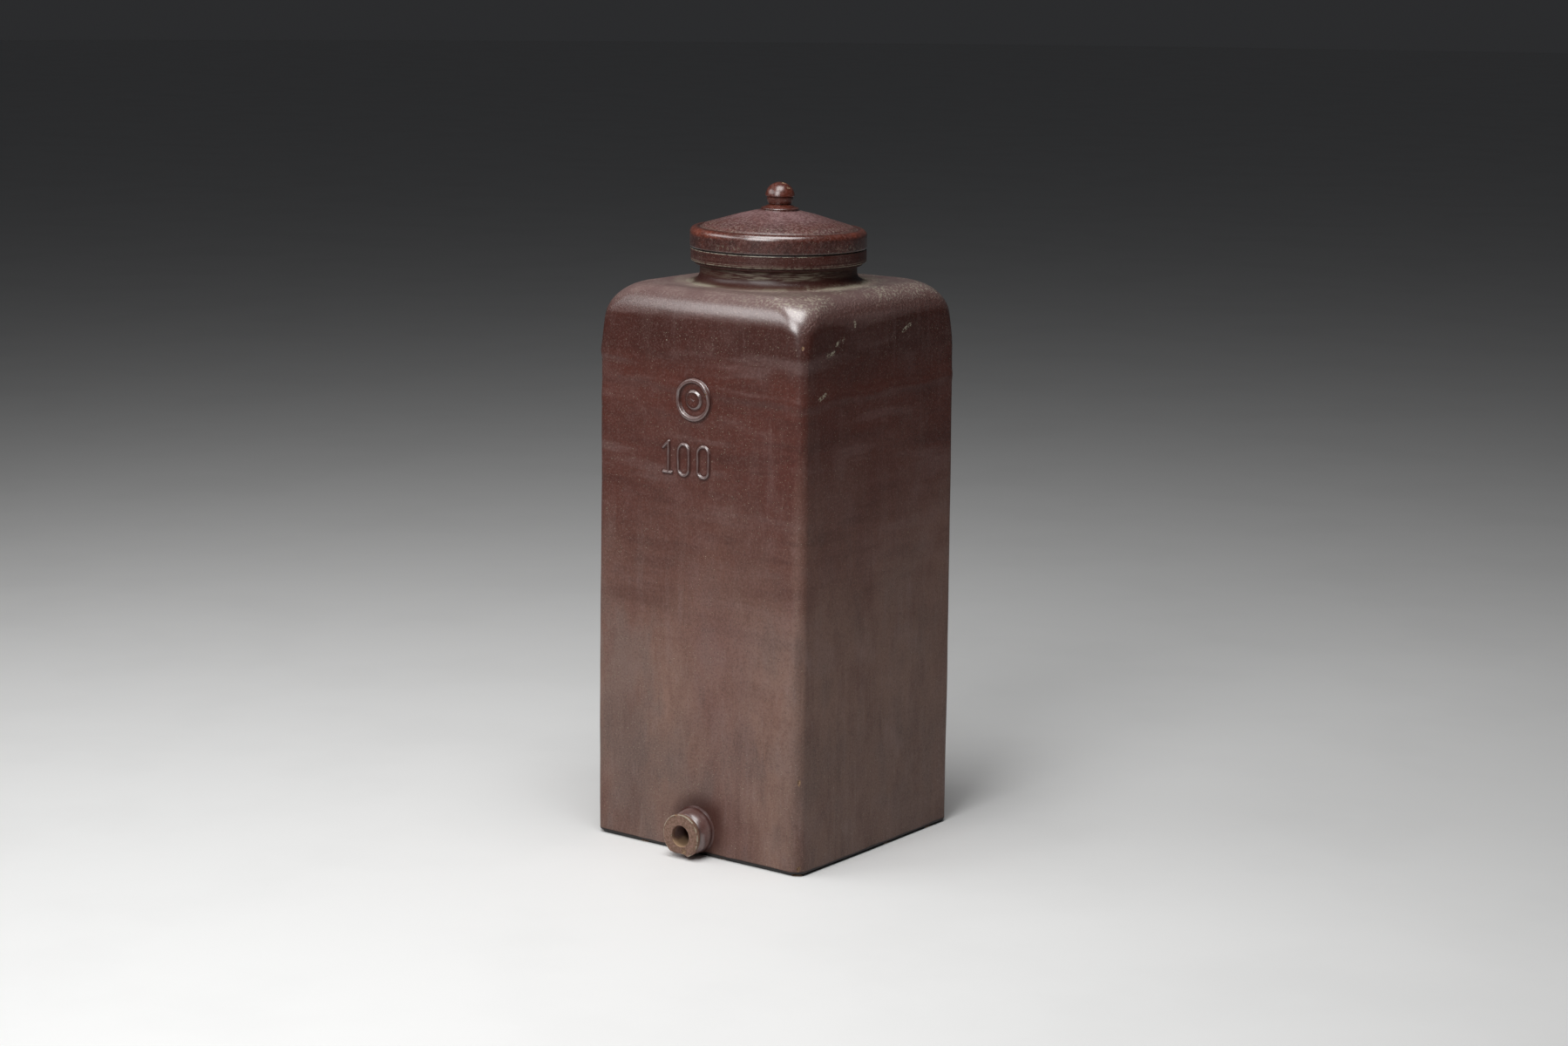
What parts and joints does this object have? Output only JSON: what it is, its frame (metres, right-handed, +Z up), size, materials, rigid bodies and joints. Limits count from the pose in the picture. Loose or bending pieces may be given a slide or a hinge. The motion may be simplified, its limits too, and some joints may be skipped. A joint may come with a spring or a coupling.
{
  "type": "square stoneware storage jar",
  "caption": "Tall square stoneware storage jar with a moulded shoulder, a flanged round mouth, a lift-off domed lid with a ball knob, and a flanged outlet spout at its foot.",
  "frame": {"origin": "on the floor at the middle of the square body, under the axis of the neck and lid", "axes": "+Z up along the axis of the neck and lid, -Y out of the outlet spout, +X to the right seen from the outlet side"},
  "size_m": [0.39, 0.4249, 0.9903],
  "materials": {
    "salt_glazed_wall": "satin salt glaze, grey brown",
    "salt_glazed_shoulder": "glossy salt glaze, red brown",
    "salt_glazed_lid": "satin salt glaze, purple brown",
    "ground_stoneware": "matt, ground bare"
  },
  "bodies": {
    "jar": {"front_wall": "salt_glazed_wall", "right_wall": "salt_glazed_wall", "back_wall": "salt_glazed_wall", "left_wall": "salt_glazed_wall", "floor_slab": "salt_glazed_wall", "shoulder": "salt_glazed_shoulder", "neck": "salt_glazed_shoulder", "outlet_spout": "ground_stoneware", "roundel": "salt_glazed_shoulder"},
    "lid": {"lid": "salt_glazed_lid", "lid_locating_ring": "ground_stoneware", "lid_knob": "salt_glazed_lid"}
  },
  "joints": [
    {"name": "lid_lift", "type": "slide", "parent": "jar", "child": "lid", "axis": [0, 0, 1], "range_m": [0, 0.25]}
  ]
}
